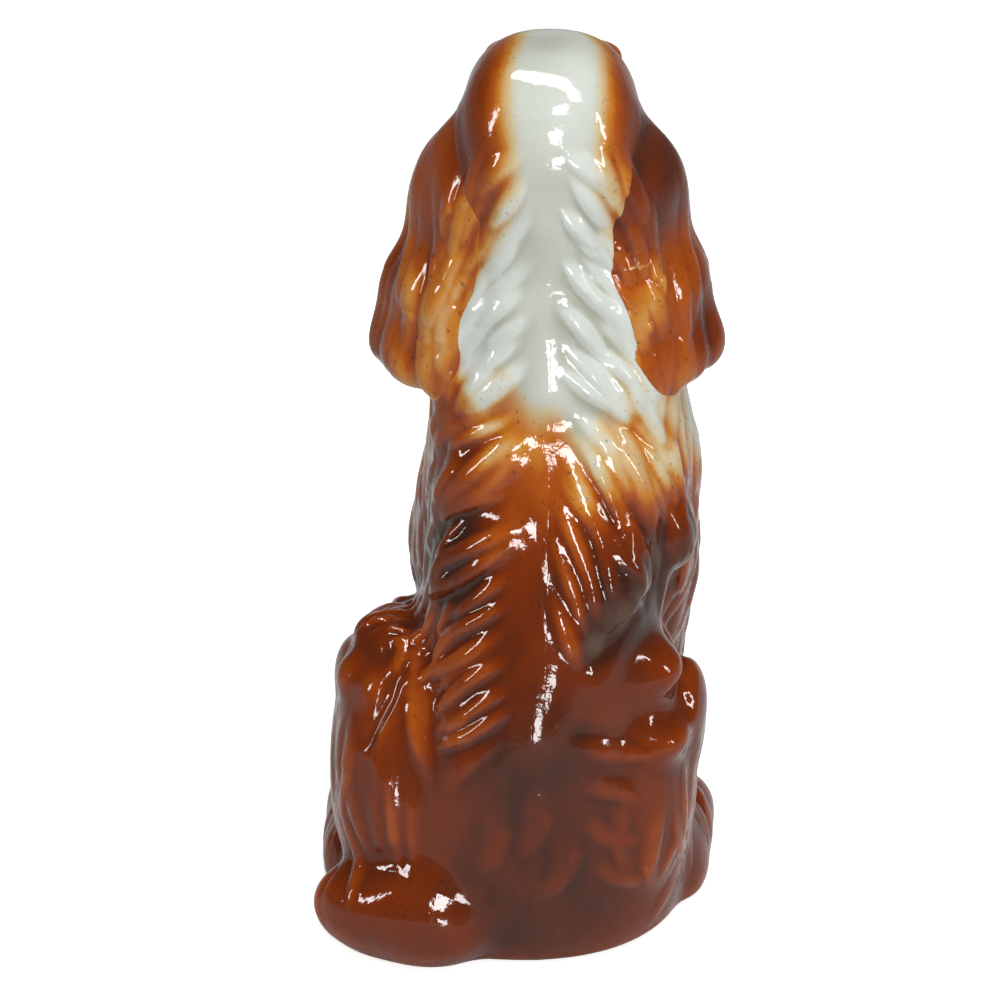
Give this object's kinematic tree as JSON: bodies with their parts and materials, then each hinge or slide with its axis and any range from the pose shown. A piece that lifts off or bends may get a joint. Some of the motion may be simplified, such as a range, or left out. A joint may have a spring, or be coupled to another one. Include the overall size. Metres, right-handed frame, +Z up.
{
  "type": "seated dog ornament",
  "caption": "Hollow glazed earthenware figure of a seated long-eared spaniel with a carved wavy coat, a white crown and nape and an orange-brown body, free-standing.",
  "frame": {"origin": "on the table, in the plane of the body's mould seam, below the neck", "axes": "+Z up, the dog looks along -Y, +X is the dog's left side"},
  "size_m": [0.1156, 0.129, 0.2396],
  "materials": {
    "back_glaze": "glossy lead-type glaze over sponged and airbrushed orange-brown, running up into bare white on the nape",
    "head_glaze": "glossy clear glaze over white clay, shaded orange-brown at the sides",
    "ear_glaze": "glossy chestnut glaze, darker on the crests of the waves",
    "leg_glaze": "glossy orange-brown glaze, lighter on the paws",
    "haunch_glaze": "glossy dark red-brown glaze",
    "tail_glaze": "glossy orange-brown glaze",
    "bare_clay": "unglazed fired white earthenware, matt"
  },
  "bodies": {
    "root": {"base_floor": "bare_clay", "body_left_half": "back_glaze", "body_right_half": "back_glaze", "body_seam_slip": "back_glaze", "collar_slip_ring": "back_glaze", "head_shell": "head_glaze", "left_ear": "ear_glaze", "left_foreleg": "leg_glaze", "left_haunch": "haunch_glaze", "left_hind_foot": "haunch_glaze", "right_ear": "ear_glaze", "right_foreleg": "leg_glaze", "right_haunch": "haunch_glaze", "right_hind_foot": "haunch_glaze", "tail_stub": "tail_glaze"}
  },
  "joints": []
}
